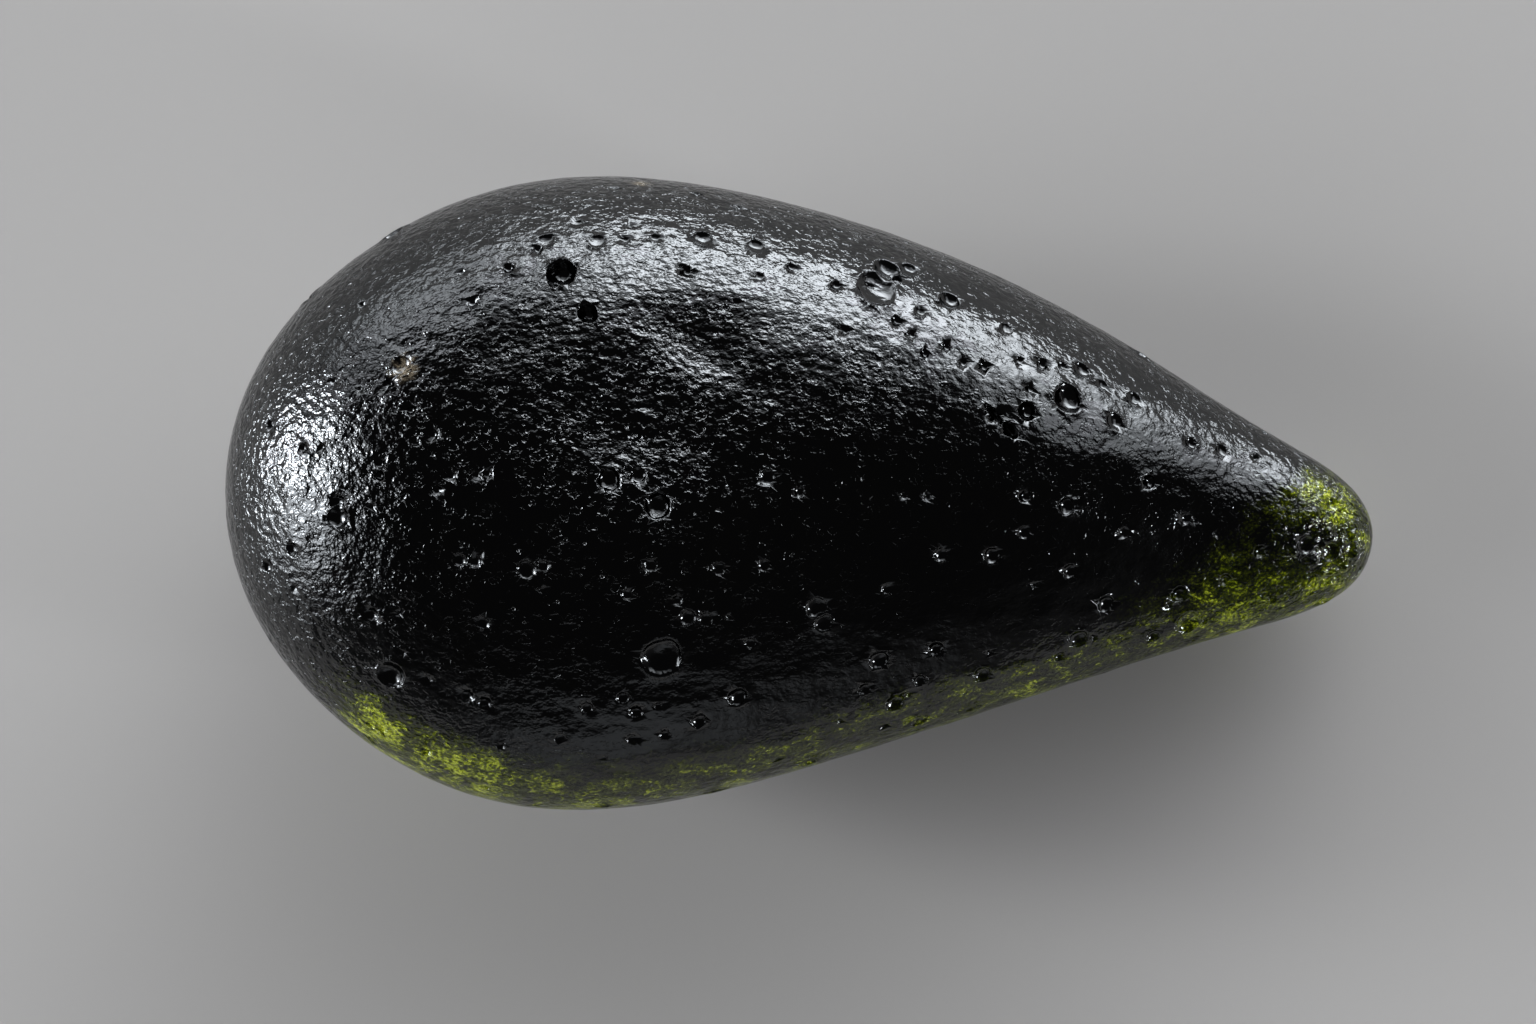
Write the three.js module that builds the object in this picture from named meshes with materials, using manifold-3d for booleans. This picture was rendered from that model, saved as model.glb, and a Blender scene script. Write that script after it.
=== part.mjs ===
// A teardrop tektite: one drop of natural glass, thrown out by an impact and frozen in
// flight, lying on its belly. Its skin is pitted where gas bubbles burst.
//
// Millimetres. +X runs from the broad end to the tip, +Z is up, and the origin is on the
// surface that the drop lies on, below the middle of its box.

import * as THREE from 'three'
import { mergeVertices } from 'three/addons/utils/BufferGeometryUtils.js'
import Module from 'manifold-3d'

const wasm = await Module()
wasm.setup()

// The drop's length, and its cross-sections at seven distances from the broad end.
// sideways is where a section's middle lies across, level is how high it lies.
const LENGTH = 60
const SECTIONS = [
  { at: 1.5, halfWidth: 6.25, sideways: -0.25, halfHeight: 3.9, level: 8.7 },
  { at: 6, halfWidth: 11.75, sideways: -0.25, halfHeight: 7.1, level: 8.75 },
  { at: 15, halfWidth: 16.1, sideways: -0.15, halfHeight: 9.5, level: 8.6 },
  { at: 27, halfWidth: 15.4, sideways: 0.45, halfHeight: 9.1, level: 8.05 },
  { at: 39, halfWidth: 11.65, sideways: 0.95, halfHeight: 7.3, level: 6.75 },
  { at: 51, halfWidth: 6.5, sideways: 0.25, halfHeight: 4.4, level: 4.8 },
  { at: 58.5, halfWidth: 2.9, sideways: -0.3, halfHeight: 2.1, level: 3.95 }
]

// How much fuller the back is than the belly, and how far the back leans towards +Y
const FULLNESS = 0.1
const LEAN = 0.12

// Fineness of the drop's skin, of a pit and of a small pit
const SKIN_DETAIL = 12
const PIT_DETAIL = 1
const SMALL_PIT_DETAIL = 0
const SMALL_PIT = 0.48

// Broad swells (height above zero) and hollows (below zero) of the skin, seen from above:
// along, across, 1 on the back or -1 on the belly, reach, height
const SWELLS = [
  [-10.3, 4.6, 1, 3.0, -0.42],
  [-6.0, 3.9, 1, 3.2, -0.42],
  [-5.2, 8.2, 1, 2.2, -0.42],
  [-12.5, 9.5, 1, 4.5, 0.18],
  [-20, -4, 1, 6, 0.15],
  [3, -8, 1, 6, -0.2],
  [12, 3, 1, 4, 0.12],
  [20, -3, 1, 3.5, -0.15],
  [25.5, 1.5, 1, 2.5, 0.2],
  [27.2, -2.2, 1, 2, -0.15],
  [-22, 9, -1, 5, -0.3],
  [-8, -12, -1, 5, -0.25],
  [14, 6, -1, 5, 0.2],
  [22, -1, -1, 4, -0.2]
]

// Pits of the back, where bubbles burst: along, across, radius, depth
const PITS = [
  // Two deep black ones by the high shoulder, and a trio near the crown
  [-12.9, 11.0, 0.8, 0.9],
  [-11.4, 8.9, 0.55, 0.65],
  [-9.9, 0.7, 0.6, 0.5],
  [-8.5, 1.0, 0.45, 0.35],
  [-7.4, -0.5, 0.7, 0.5],
  // A wide shallow bowl on the low side
  [-6.9, -8.1, 1.05, 0.4],
  // The pitted ground between the shoulder and the tip
  [13.2, 6.1, 0.8, 0.6],
  [11.1, 5.3, 0.5, 0.4],
  [3.1, 11.2, 1.05, 0.5],
  [3.7, 12.2, 0.75, 0.45],
  [6.9, 10.8, 0.6, 0.3],
  [13.9, 7.6, 0.45, 0.25],
  [16.7, 6.2, 0.4, 0.2],
  [15.7, 5.1, 0.45, 0.25],
  [17.7, 2.1, 0.4, 0.3],
  [21.5, 3.9, 0.4, 0.2],
  [9.7, -2.1, 0.45, 0.25],
  [13.4, 0.6, 0.45, 0.25],
  [15.8, -4.3, 0.45, 0.25],
  [19.7, -3.7, 0.45, 0.3],
  // The broad end
  [-20.7, 5.9, 0.5, 0.3],
  [-23.5, -1.9, 0.55, 0.35],
  [-27.4, 2.6, 0.4, 0.25],
  [-27.2, -4.6, 0.4, 0.2],
  [-21.7, -6.7, 0.4, 0.25],
  [-20.5, -9.8, 0.75, 0.4],
  [-18.8, -13.6, 0.4, 0.25],
  // The low side, from the broad end to the tip
  [-13.9, -4.0, 0.45, 0.2],
  [-8.0, -11.0, 0.4, 0.25],
  [-4.8, -11.4, 0.4, 0.2],
  [-2.9, -10.0, 0.5, 0.3],
  [-5.6, -6.0, 0.45, 0.2],
  [0.9, -5.2, 0.55, 0.2],
  [1.3, -6.0, 0.5, 0.2],
  [4.2, -7.8, 0.55, 0.3],
  [7.1, -7.1, 0.45, 0.25],
  [5.2, -10.1, 0.55, 0.3],
  [9.6, -8.3, 0.5, 0.25],
  [14.5, -6.3, 0.55, 0.25],
  [18.5, -5.9, 0.4, 0.2],
  // The high side's rim
  [-5.9, 13.1, 0.5, 0.25],
  [-3.2, 13.0, 0.5, 0.2],
  [-13.8, 12.6, 0.45, 0.2],
  // The tip
  [26.2, -0.7, 0.55, 0.35],
  [27.9, -1.0, 0.65, 0.3],
  [23.9, -1.2, 0.4, 0.25],
  [27.5, 1.4, 0.4, 0.2]
]

// The slash, a long bubble torn open askew, ending in a deeper pit
const SLASH = { along: 9.5, across: 5.0, radius: 0.28, depth: 0.3, stretch: 4.6, turn: -0.72 }
const SLASH_END = { along: 10.4, across: 4.3, radius: 0.35, depth: 0.42, stretch: 1.7, turn: -0.6 }

// Pits of the belly and the flanks are spread along a spiral instead. Their radius runs
// from SPREAD_RADIUS up to SPREAD_RANGE more, and their depth is a share of it. They stay
// below the direction SPREAD_TOP, and above the height BARE_LEVEL.
const SPREAD_COUNT = 72
const SPREAD_RADIUS = 0.42
const SPREAD_RANGE = 0.45
const SPREAD_DEPTH = 0.45
const SPREAD_TOP = 0.1
const BARE_LEVEL = 0.6
const GOLDEN_ANGLE = Math.PI * (3 - Math.sqrt(5))

// Size of the block below the surface, which cuts the belly flat
const BLOCK = 80

// The smooth curve through a value of every section
function through (name, scale) {
  return x => SECTIONS.reduce((sum, own) => {
    const others = SECTIONS.filter(other => other !== own)
    const weight = others.reduce((all, other) => all * (x - other.at) / (own.at - other.at), 1)
    return sum + weight * own[name] / scale(own.at)
  }, 0)
}

const unscaled = () => 1
const ellipse = x => 2 * Math.sqrt(x * (LENGTH - x)) / LENGTH
const widthAt = through('halfWidth', ellipse)
const heightAt = through('halfHeight', ellipse)
const sidewaysAt = through('sideways', unscaled)
const levelAt = through('level', unscaled)

// The point of the plain drop in a direction, a unit vector
function plainPoint (direction) {
  const x = LENGTH / 2 * (1 + direction.x)
  const y = sidewaysAt(x) + widthAt(x) * direction.y
  const lean = 1 + LEAN * direction.y * (1 + direction.z) / 2
  const z = levelAt(x) + heightAt(x) * direction.z * (1 + FULLNESS * direction.z) * lean
  return new THREE.Vector3(x - LENGTH / 2, y, z)
}

// The direction of the skin over or under a place
function directionAt (along, across, side) {
  const x = along + LENGTH / 2
  const dx = along / (LENGTH / 2)
  const dy = (across - sidewaysAt(x)) / widthAt(x)
  const dz = side * Math.sqrt(1 - dx * dx - dy * dy)
  return new THREE.Vector3(dx, dy, dz)
}

// Roughly outwards from the plain drop
function outwards (direction) {
  const x = LENGTH / 2 * (1 + direction.x)
  const reach = new THREE.Vector3(LENGTH / 2, widthAt(x), heightAt(x))
  return direction.clone().divide(reach).normalize()
}

const swells = SWELLS.map(([along, across, side, reach, height]) => {
  const centre = plainPoint(directionAt(along, across, side))
  return { centre, reach, height }
})

// The skin, with its swells and hollows
function skinPoint (direction) {
  const point = plainPoint(direction)
  let rise = 0
  for (const { centre, reach, height } of swells) {
    rise += height * Math.exp(-point.distanceToSquared(centre) / reach ** 2)
  }
  return point.addScaledVector(outwards(direction), rise)
}

// A closed mesh as a solid that can be cut and joined
function solidOf (geometry) {
  geometry.deleteAttribute('normal')
  geometry.deleteAttribute('uv')
  const merged = mergeVertices(geometry)
  const vertProperties = new Float32Array(merged.attributes.position.array)
  const triVerts = new Uint32Array(merged.index.array)
  return new wasm.Manifold(new wasm.Mesh({ numProp: 3, vertProperties, triVerts }))
}

function geometryOf (solid) {
  const mesh = solid.getMesh()
  const geometry = new THREE.BufferGeometry()
  geometry.setAttribute('position', new THREE.BufferAttribute(mesh.vertProperties, 3))
  geometry.setIndex(new THREE.BufferAttribute(mesh.triVerts, 1))
  geometry.computeVertexNormals()
  return geometry
}

// The drop, with its skin pushed out from a ball of even triangles
function dropSolid () {
  const geometry = new THREE.IcosahedronGeometry(1, SKIN_DETAIL)
  const positions = geometry.attributes.position
  const direction = new THREE.Vector3()
  for (let i = 0; i < positions.count; i++) {
    direction.fromBufferAttribute(positions, i).normalize()
    const point = skinPoint(direction)
    positions.setXYZ(i, point.x, point.y, point.z)
  }
  return solidOf(geometry)
}

// One bubble, centred on the skin: radius along the skin, depth into it, stretch along
// its long axis, and turn of that axis from +X
function bubble (direction, { radius, depth, stretch = 1, turn = 0 }) {
  const up = outwards(direction)
  const lengthwise = new THREE.Vector3(Math.cos(turn), Math.sin(turn), 0)
  lengthwise.addScaledVector(up, -lengthwise.dot(up)).normalize()
  const sidewise = new THREE.Vector3().crossVectors(up, lengthwise)
  const frame = new THREE.Matrix4().makeBasis(lengthwise, sidewise, up)
  frame.scale(new THREE.Vector3(radius * stretch, radius, depth))
  frame.setPosition(skinPoint(direction))
  const detail = radius < SMALL_PIT ? SMALL_PIT_DETAIL : PIT_DETAIL
  return solidOf(new THREE.IcosahedronGeometry(1, detail).applyMatrix4(frame))
}

function backBubbles () {
  const round = PITS.map(([along, across, radius, depth]) => {
    return bubble(directionAt(along, across, 1), { radius, depth })
  })
  const torn = [SLASH, SLASH_END].map(pit => {
    return bubble(directionAt(pit.along, pit.across, 1), pit)
  })
  return [...round, ...torn]
}

// Pits turn round the long axis as they go from the broad end to the tip, and keep off
// the back, which has its own, and off what the drop rests on
function spreadBubbles () {
  const bubbles = []
  for (let i = 0; i < SPREAD_COUNT; i++) {
    const dx = 1 - 2 * (i + 0.5) / SPREAD_COUNT
    const angle = i * GOLDEN_ANGLE
    const ring = Math.sqrt(1 - dx * dx)
    const direction = new THREE.Vector3(dx, ring * Math.cos(angle), ring * Math.sin(angle))
    const size = (1 + Math.sin(i * i)) / 2
    const radius = SPREAD_RADIUS + SPREAD_RANGE * size ** 2
    if (direction.z < SPREAD_TOP && skinPoint(direction).z > BARE_LEVEL) {
      bubbles.push(bubble(direction, { radius, depth: radius * SPREAD_DEPTH }))
    }
  }
  return bubbles
}

// The block whose top is the surface that the drop lies on
function groundSolid () {
  const geometry = new THREE.BoxGeometry(BLOCK, BLOCK, BLOCK)
  geometry.translate(0, 0, -BLOCK / 2)
  return solidOf(geometry)
}

const pits = [...backBubbles(), ...spreadBubbles()].reduce((all, one) => all.add(one))
const drop = dropSolid().subtract(pits).subtract(groundSolid())

const glass = new THREE.MeshStandardMaterial({
  color: 0x0c0f0a,
  roughness: 0.15,
  metalness: 0
})

const tektite = new THREE.Mesh(geometryOf(drop), glass)
tektite.name = 'tektite'

const part = new THREE.Group()
part.add(tektite)

export default part
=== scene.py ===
# %% [markdown]
# # A teardrop tektite
#
# A tektite is natural glass: an impact melted the ground and threw it up, and this drop
# froze on its way down. The photograph looks straight down on one, taken here to be 60 mm
# long. It is almost black, glossy over a fine scaly skin, dotted with pits where gas bubbles
# burst, and bottle green where the glass is thin.
#
# The lesson builds it in this order: the frame, the drop, its pits, the skin's relief as
# geometry, the glass, and the studio.

import math

import bmesh
import bpy
import numpy as np
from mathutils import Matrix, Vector, noise

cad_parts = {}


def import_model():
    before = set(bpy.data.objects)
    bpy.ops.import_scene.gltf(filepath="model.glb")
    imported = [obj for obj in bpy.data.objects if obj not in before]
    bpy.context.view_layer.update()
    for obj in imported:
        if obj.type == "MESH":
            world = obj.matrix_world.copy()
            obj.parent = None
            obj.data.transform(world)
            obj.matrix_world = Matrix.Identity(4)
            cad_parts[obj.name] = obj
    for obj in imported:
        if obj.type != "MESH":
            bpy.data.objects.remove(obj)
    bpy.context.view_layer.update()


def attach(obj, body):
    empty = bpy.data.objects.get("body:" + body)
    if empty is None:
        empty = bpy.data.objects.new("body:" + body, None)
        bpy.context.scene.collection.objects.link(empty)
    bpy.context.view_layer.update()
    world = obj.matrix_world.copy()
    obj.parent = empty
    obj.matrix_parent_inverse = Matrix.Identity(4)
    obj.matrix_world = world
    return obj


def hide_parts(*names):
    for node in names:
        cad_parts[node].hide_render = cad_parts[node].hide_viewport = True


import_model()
MM = 0.001

# %% [markdown]
# ## The drop's outline
#
# The melt was still soft when it flew, so it drew out into a drop with one slim end. Its
# outline could be drawn by hand, point by point, but a drop is smooth all over. Seven
# cross-sections are enough, with one smooth curve through each of their measures. The ends
# close by themselves, because every measure is a factor on a ball.

# %% Cross-sections of the drop
LENGTH = 60.0
AT = [1.5, 6, 15, 27, 39, 51, 58.5]
HALF_WIDTH = [6.25, 11.75, 16.1, 15.4, 11.65, 6.5, 2.9]
SIDEWAYS = [-0.25, -0.25, -0.15, 0.45, 0.95, 0.25, -0.3]
HALF_HEIGHT = [3.9, 7.1, 9.5, 9.1, 7.3, 4.4, 2.1]
LEVEL = [8.7, 8.75, 8.6, 8.05, 6.75, 4.8, 3.95]
FULLNESS = 0.1
LEAN = 0.12


def ellipse(x):
    return 2 * np.sqrt(np.maximum(x * (LENGTH - x), 0)) / LENGTH


def through(values):
    """The smooth curve through one value for each cross-section."""
    def curve(x):
        total = 0
        for i, value in enumerate(values):
            others = [at for j, at in enumerate(AT) if j != i]
            total = total + value * math.prod((x - at) / (AT[i] - at) for at in others)
        return total
    return curve


width_at = through([half / ellipse(at) for half, at in zip(HALF_WIDTH, AT)])
height_at = through([half / ellipse(at) for half, at in zip(HALF_HEIGHT, AT)])
sideways_at = through(SIDEWAYS)
level_at = through(LEVEL)
stations = np.linspace(1, LENGTH - 1, 59)
widest = stations[np.argmax(width_at(stations) * ellipse(stations))]
print("the drop is widest", round(widest, 1), "mm from the broad end")

# %% [markdown]
# ## From a ball to the drop
#
# Each place on the skin is known by its direction on a ball. Curves through the
# cross-sections turn a direction into a point, so a finer ball gives a finer drop with no
# other change. The same way gives the direction that points straight out of the skin.

# %% The plain drop, from directions on a ball


def plain_points(ways):
    """Points of the plain drop, in mm, for unit directions."""
    x = LENGTH / 2 * (1 + ways[:, 0])
    y = sideways_at(x) + width_at(x) * ways[:, 1]
    lean = 1 + LEAN * ways[:, 1] * (1 + ways[:, 2]) / 2
    z = level_at(x) + height_at(x) * ways[:, 2] * (1 + FULLNESS * ways[:, 2]) * lean
    return np.column_stack([x - LENGTH / 2, y, z])


def ways_at(along, across, side=1):
    """Directions of the skin above (side 1) or below (side -1) places on the surface."""
    along = np.atleast_1d(np.asarray(along, float))
    across = np.atleast_1d(np.asarray(across, float))
    x = along + LENGTH / 2
    dx = along / (LENGTH / 2)
    dy = (across - sideways_at(x)) / width_at(x)
    dz = side * np.sqrt(np.maximum(1 - dx ** 2 - dy ** 2, 0))
    return np.column_stack([dx, dy, dz])


def outwards(ways):
    """Unit directions that point straight out of the plain drop's skin."""
    x = LENGTH / 2 * (1 + ways[:, 0])
    reach = np.column_stack([np.full(len(x), LENGTH / 2), width_at(x), height_at(x)])
    out = ways / reach
    return out / np.linalg.norm(out, axis=1)[:, None]


print("above the middle the plain skin is at", plain_points(ways_at(0, 0)).round(2)[0], "mm")

# %% [markdown]
# ## Swells and hollows
#
# No real drop is a perfect form. Broad, shallow swells and hollows bend its reflections:
# the three hollows on the crown are what breaks up the light there. Each is a soft bell
# pushed along the skin's own direction.

# %% Broad swells and hollows: along, across, side, reach, height
SWELLS = [
    (-10.3, 4.6, 1, 3.0, -0.42),
    (-6.0, 3.9, 1, 3.2, -0.42),
    (-5.2, 8.2, 1, 2.2, -0.42),
    (-12.5, 9.5, 1, 4.5, 0.18),
    (-20, -4, 1, 6, 0.15),
    (3, -8, 1, 6, -0.2),
    (12, 3, 1, 4, 0.12),
    (20, -3, 1, 3.5, -0.15),
    (25.5, 1.5, 1, 2.5, 0.2),
    (27.2, -2.2, 1, 2, -0.15),
    (-22, 9, -1, 5, -0.3),
    (-8, -12, -1, 5, -0.25),
    (14, 6, -1, 5, 0.2),
    (22, -1, -1, 4, -0.2),
]
SWELL_CENTRES = [plain_points(ways_at(*swell[:3]))[0] for swell in SWELLS]


def skin_points(ways):
    """Points of the drop with its swells and hollows, in mm."""
    points = plain_points(ways)
    rise = np.zeros(len(points))
    for centre, (*_, reach, height) in zip(SWELL_CENTRES, SWELLS):
        apart = ((points - centre) ** 2).sum(1)
        rise += height * np.exp(-apart / reach ** 2)
    return points + outwards(ways) * rise[:, None]


crown = skin_points(ways_at(-12, 0))[0]
lowest = skin_points(ways_at(-7, 0, -1))[0]
print("the crown stands", round(crown[2], 2), "mm high, the belly reaches", round(lowest[2], 2))

# %% [markdown]
# ## Pits
#
# Gas bubbles near the surface burst and left round pits with crisp lips, and weather and
# ground acids opened them further. They could all be spread by a rule, but the large ones
# are placed one by one, because a person who knows the stone would look for them.

# %% Pits placed one by one: along, across, radius, depth
BROAD_END = [
    (-27.4, 2.6, 0.36, 0.18), (-27.2, -4.6, 0.36, 0.15), (-25.9, -3.6, 0.34, 0.2),
    (-25.6, 1.5, 0.26, 0.16), (-24.6, 1.6, 0.21, 0.12), (-24.2, 5, 0.21, 0.12),
    (-23.5, -1.9, 0.57, 0.28), (-21.6, -6.7, 0.41, 0.25), (-21.5, 0.3, 0.28, 0.23),
    (-21.5, 0.9, 0.26, 0.21), (-21.3, 5, 0.26, 0.23), (-21.1, -12.6, 0.28, 0.17),
    (-20.7, 5.9, 0.52, 0.21), (-20.5, -9.7, 0.73, 0.36), (-20.1, 3.7, 0.28, 0.23),
    (-18.9, 2.5, 0.31, 0.19), (-18.7, -13.6, 0.39, 0.23), (-18.5, -0.3, 0.26, 0.16),
]
SHOULDER = [
    (-17.3, 9.3, 0.31, 0.22), (-16.6, 0.6, 0.28, 0.17), (-16, 0.7, 0.23, 0.14),
    (-15.6, 11.1, 0.34, 0.27), (-14.2, 12.2, 0.31, 0.28), (-13.8, 12.6, 0.47, 0.16),
    (-13.2, 10.5, 0.34, 0.64), (-12.9, 11, 0.78, 0.78), (-12.3, 13.6, 0.36, 0.11),
    (-11.4, 9, 0.54, 0.54), (-11.2, 12.7, 0.44, 0.13), (-9.9, 0.7, 0.6, 0.33),
    (-9.8, 12.9, 0.26, 0.13), (-8.5, 1, 0.44, 0.26), (-8.3, 13.1, 0.28, 0.11),
    (-7.4, -0.5, 0.67, 0.36), (-6.6, 11.5, 0.34, 0.27), (-5.9, 13.2, 0.52, 0.23),
    (-3.2, 13, 0.49, 0.15), (-2.9, 11.4, 0.28, 0.11),
]
LOW_SIDE = [
    (-17.2, -3.7, 0.34, 0.13), (-16.6, -10.6, 0.36, 0.22), (-16.4, -3.7, 0.34, 0.17),
    (-15.9, -6.8, 0.36, 0.13), (-15.7, -10.9, 0.36, 0.22), (-14.8, -13.1, 0.23, 0.14),
    (-13.8, -4, 0.47, 0.19), (-13, -3.8, 0.31, 0.12), (-11.8, -12.5, 0.31, 0.12),
    (-10.5, -10.9, 0.34, 0.17), (-8.7, -10.3, 0.34, 0.17), (-8.7, -5, 0.28, 0.11),
    (-8.2, -12.4, 0.28, 0.11), (-8, -11, 0.39, 0.23), (-7.6, -3.5, 0.34, 0.13),
    (-6.8, -8.1, 1.04, 0.36), (-6.5, -12.1, 0.28, 0.14), (-6.2, -5.2, 0.28, 0.14),
    (-5.6, -6, 0.44, 0.18), (-4.8, -11.3, 0.41, 0.21), (-4.7, -6.1, 0.39, 0.16),
    (-4.2, -3.5, 0.36, 0.15), (-2.9, -10, 0.52, 0.31), (-2.4, -7.2, 0.31, 0.12),
]
HIGH_SLOPE = [
    (-1.3, 12, 0.26, 0.13), (1, 11.2, 0.31, 0.19), (1.6, 8.9, 0.23, 0.16),
    (3.1, 11.2, 1.04, 0.34), (3.6, 12.2, 0.73, 0.36), (4.2, 9.6, 0.28, 0.2),
    (4.7, 12.3, 0.52, 0.21), (5, 8.9, 0.26, 0.18), (5.4, 10.1, 0.34, 0.17),
    (5.7, 8, 0.26, 0.21), (6.8, 8.4, 0.26, 0.21), (6.9, 10.8, 0.57, 0.26),
    (7.7, 7.6, 0.26, 0.18), (8.8, 7.5, 0.31, 0.25), (10.6, 7.9, 0.26, 0.13),
    (11.1, 5.3, 0.52, 0.41), (11.2, 6.5, 0.28, 0.23), (11.8, 7.8, 0.34, 0.27),
    (13.2, 6.1, 0.78, 0.44), (13.9, 7.6, 0.47, 0.19), (15, 6.9, 0.36, 0.15),
    (15.7, 5.1, 0.47, 0.19), (16.7, 6.3, 0.41, 0.17), (17.7, 2.1, 0.39, 0.31),
    (19.8, 4.2, 0.34, 0.2), (21.5, 3.9, 0.36, 0.15),
]
LOW_SLOPE = [
    (-1.9, -3.2, 0.31, 0.12), (-0.3, 0.6, 0.28, 0.17), (0.9, -5.2, 0.54, 0.16),
    (1.3, -6, 0.49, 0.15), (3.6, -9.4, 0.34, 0.17), (4.2, -7.8, 0.54, 0.27),
    (4.4, -4.1, 0.28, 0.11), (5, 0.7, 0.23, 0.12), (5.2, -10, 0.54, 0.27),
    (6.2, 0.7, 0.23, 0.12), (6.4, -8.8, 0.34, 0.17), (6.5, -10.9, 0.47, 0.19),
    (7.1, -7.1, 0.44, 0.26), (7.1, -2.2, 0.39, 0.19), (9.6, -8.3, 0.49, 0.25),
    (9.7, -2.1, 0.44, 0.22), (11.2, 1, 0.36, 0.22), (13.4, 0.6, 0.47, 0.23),
    (13.6, -7.2, 0.28, 0.17), (13.8, -2.7, 0.39, 0.16), (14.5, -6.2, 0.54, 0.22),
    (15.8, -4.3, 0.47, 0.23), (16.5, -0.6, 0.34, 0.13), (18.5, -5.9, 0.41, 0.21),
    (19.7, -3.7, 0.47, 0.28), (19.7, 0.3, 0.34, 0.17), (22.1, -2.8, 0.34, 0.2),
]
TIP = [
    (23.8, -1.2, 0.36, 0.22), (24.7, -3.7, 0.28, 0.17), (26.2, -0.7, 0.5, 0.16),
    (27.5, 1.4, 0.36, 0.18), (27.6, -1, 0.5, 0.1), (28.7, -0.9, 0.4, 0.08),
]
placed = BROAD_END + SHOULDER + LOW_SIDE + HIGH_SLOPE + LOW_SLOPE + TIP
print(len(placed), "pits are placed by eye")

# %% One pit as a small record


def pit(way, radius, depth, stretch=1.0, turn=0.0):
    """A pit on the skin: its centre, its own long and short axes, and its size in mm."""
    centre = skin_points(way[None])[0]
    up = outwards(way[None])[0]
    long_axis = np.array([math.cos(turn), math.sin(turn), 0])
    long_axis -= up * (long_axis @ up)
    long_axis /= np.linalg.norm(long_axis)
    short_axis = np.cross(up, long_axis)
    return {"centre": centre, "up": up, "long": long_axis, "short": short_axis,
            "radius": radius, "depth": depth, "stretch": stretch}


pits = [pit(ways_at(x, y)[0], radius, depth) for x, y, radius, depth in placed]
widths = sorted(2 * one["radius"] for one in pits)
print("placed pits are from", widths[0], "to", widths[-1], "mm across")

# %% [markdown]
# ## Torn bubbles and whole ones
#
# Some bubbles were drawn long before they tore open, and lie askew on the high slope. A
# few at the tip never burst, and still bulge there. They are the same kind of record: a
# long one has a stretch, and a whole one has a depth below zero.

# %% Long pits and whole bubbles
# Along, across, radius, depth, stretch, turn: a bubble torn open askew and the wider pit that
# it ends in, then a slot and a hole in the large crater of the high slope
LONG_PITS = [(9.4, 5.1, 0.2, 0.5, 5.5, -0.72), (10.3, 4.3, 0.3, 0.5, 2, -0.66),
             (2.8, 11.5, 0.17, 0.4, 3.6, 0.1), (4.1, 11.9, 0.3, 0.5, 1.3, -0.9)]
for x, y, radius, depth, stretch, turn in LONG_PITS:
    pits.append(pit(ways_at(x, y)[0], radius, depth, stretch, turn))

# Bubbles that didn't burst: along, across, radius, height
BUBBLES = [(25.6, -1.1, 0.32, 0.14), (26.8, -1.7, 0.3, 0.15), (27.4, 0.0, 0.3, 0.14),
           (28.5, -1.8, 0.36, 0.16), (28.8, -0.1, 0.34, 0.17), (25.2, 1.9, 0.4, 0.12),
           (26.6, 0.9, 0.34, 0.12), (27.3, -2.3, 0.22, 0.1), (29.0, -1.1, 0.3, 0.15)]
for x, y, radius, height in BUBBLES:
    pits.append(pit(ways_at(x, y)[0], radius, -height))
print(len(LONG_PITS), "pits are torn, and", len(BUBBLES), "whole bubbles bulge at the tip")

# %% [markdown]
# ## Pits spread by a rule
#
# The photograph shows one side of the stone, and only its larger pits can be told apart
# there. The other pits come from a seeded draw, which is the same at every run. A high
# power of an even draw gives many small pits and few large ones, more so on the upper
# side, where the large ones are already listed.

# %% Pits spread by a seeded draw
SPREAD = 130
SMALLEST = 0.16
LARGEST = 0.75
SHALLOWEST = 0.3
DEEPEST = 0.8
RARITY_ABOVE = 9
RARITY_BELOW = 4
UPPER_SIDE = 0.12
BARE_LEVEL = 0.5
APART = 0.5
draw = np.random.default_rng(7)


def spread_pits(count):
    """Pits on the whole skin, except where it rests and where placed ones already are."""
    kept = []
    centres = [one["centre"] for one in pits]
    while len(kept) < count:
        way = draw.normal(size=3)
        way /= np.linalg.norm(way)
        size = draw.random()
        rarity = RARITY_ABOVE if way[2] > UPPER_SIDE else RARITY_BELOW
        radius = SMALLEST + (LARGEST - SMALLEST) * size ** rarity
        depth = radius * (SHALLOWEST + (DEEPEST - SHALLOWEST) * draw.random())
        new = pit(way, radius, depth)
        nearest = np.linalg.norm(np.array(centres) - new["centre"], axis=1).min()
        if new["centre"][2] > BARE_LEVEL and nearest > APART:
            kept.append(new)
            centres.append(new["centre"])
    return kept


pits += spread_pits(SPREAD)
print(len(pits), "pits in all")

# %% [markdown]
# ## The mesh
#
# A ball of even triangles takes the drop's form best: it has no poles and no seam. It
# would need millions of them to carry the smallest pits everywhere, so it is cut finer
# only there. Each pass halves the edges that are too long, and both triangles beside an
# edge are cut the same way, so the mesh stays closed.

# %% Start from a ball
BALL_STEPS = 6


def ball():
    mesh = bmesh.new()
    bmesh.ops.create_icosphere(mesh, subdivisions=BALL_STEPS, radius=1)
    ways = np.array([vert.co for vert in mesh.verts])
    faces = np.array([[vert.index for vert in face.verts] for face in mesh.faces])
    mesh.free()
    return ways / np.linalg.norm(ways, axis=1)[:, None], faces


ways, faces = ball()
print("the ball starts with", len(faces), "triangles")

# %% Find what lies near a pit


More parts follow.
